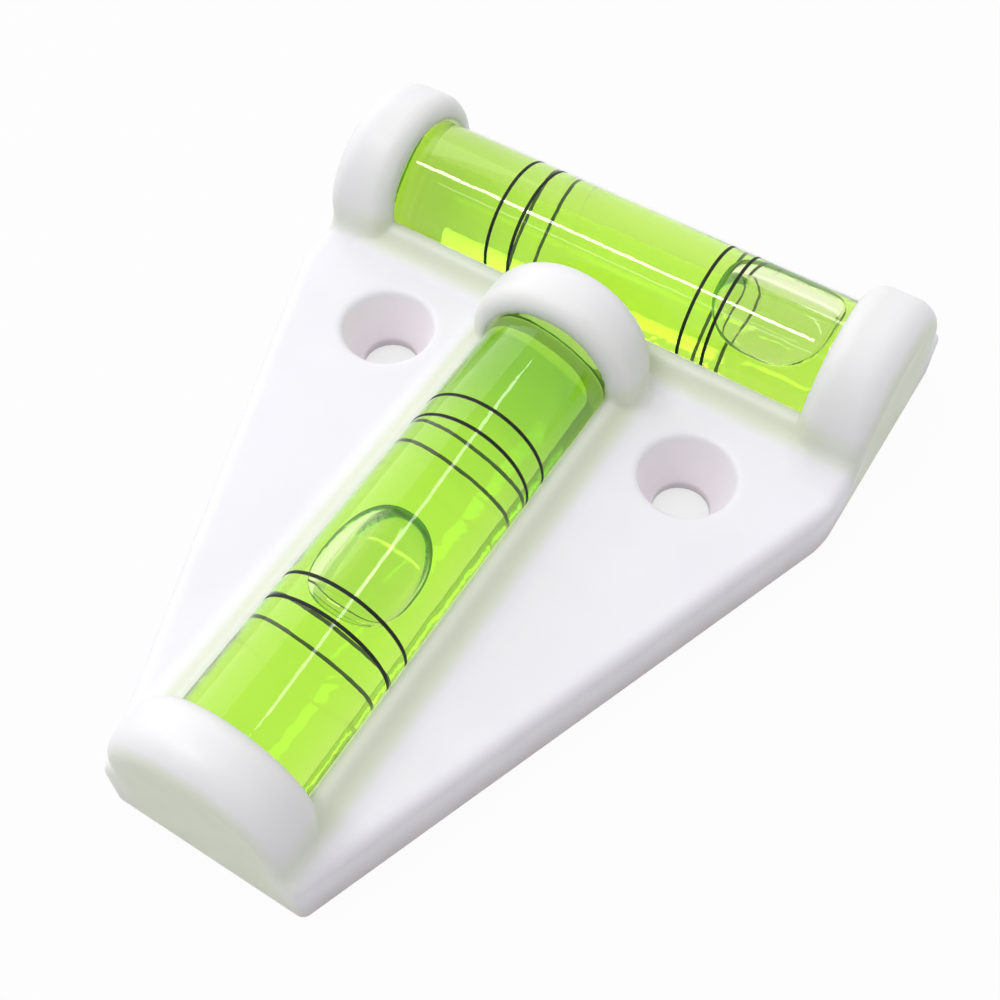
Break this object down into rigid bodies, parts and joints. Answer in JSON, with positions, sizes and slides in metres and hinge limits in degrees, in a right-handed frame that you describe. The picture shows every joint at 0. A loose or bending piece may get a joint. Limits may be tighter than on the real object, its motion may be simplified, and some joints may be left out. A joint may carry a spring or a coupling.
{
  "type": "t-shaped bubble level",
  "caption": "Screw-on T-shaped bubble level: a keystone plate of white plastic that carries crossed green tubular vials, each with a sliding bubble and marker lines.",
  "frame": {"origin": "middle of the mounting face's box, on the plane that the level is screwed to", "axes": "+Z out of the mounting face, +Y from the narrow nose to the wide back, X along the cross vial"},
  "size_m": [0.05, 0.0666, 0.0146],
  "materials": {
    "white_plastic": "satin",
    "clear_acrylic": "polished",
    "green_fluid": "polished",
    "air_bubble": "polished",
    "line_ink": "satin"
  },
  "bodies": {
    "level": {"housing": "white_plastic", "cross_barrel": "clear_acrylic", "cross_plug": "clear_acrylic", "cross_fluid": "green_fluid", "cross_line_1": "line_ink", "cross_line_2": "line_ink", "cross_line_3": "line_ink", "cross_line_4": "line_ink", "stem_barrel": "clear_acrylic", "stem_plug": "clear_acrylic", "stem_fluid": "green_fluid", "stem_line_1": "line_ink", "stem_line_2": "line_ink", "stem_line_3": "line_ink", "stem_line_4": "line_ink"},
    "cross_bubble": {"cross_bubble": "air_bubble"},
    "stem_bubble": {"stem_bubble": "air_bubble"}
  },
  "joints": [
    {"name": "cross_bubble_slide", "type": "slide", "parent": "level", "child": "cross_bubble", "axis": [1, 0, 0], "range_m": [-0.0287, 0.0013], "deforming": ["cross_fluid"]},
    {"name": "stem_bubble_slide", "type": "slide", "parent": "level", "child": "stem_bubble", "axis": [0, 1, 0], "range_m": [-0.0104, 0.0196], "deforming": ["stem_fluid"]}
  ]
}
